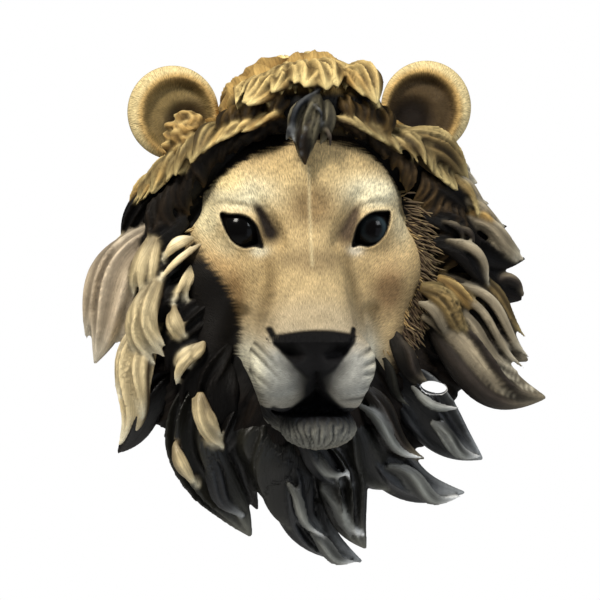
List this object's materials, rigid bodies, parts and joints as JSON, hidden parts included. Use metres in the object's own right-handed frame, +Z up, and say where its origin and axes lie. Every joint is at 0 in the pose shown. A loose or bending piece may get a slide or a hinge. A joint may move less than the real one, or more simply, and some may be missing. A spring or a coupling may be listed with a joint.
{
  "type": "lion head wall sculpture",
  "caption": "Wall-hung lion's head with a full flowing mane, rounded ears and a calm, closed-mouth face, flat behind.",
  "frame": {"origin": "on the flat back, which lies against the wall, level with the middle of the head's height", "axes": "+Z up the wall, -Y out of the wall the way the face looks, +X to the right of someone facing it"},
  "size_m": [0.3594, 0.1833, 0.4031],
  "materials": {
    "painted_resin": "satin hand-painted resin"
  },
  "bodies": {
    "root": {"lion_head": "painted_resin"}
  },
  "joints": []
}
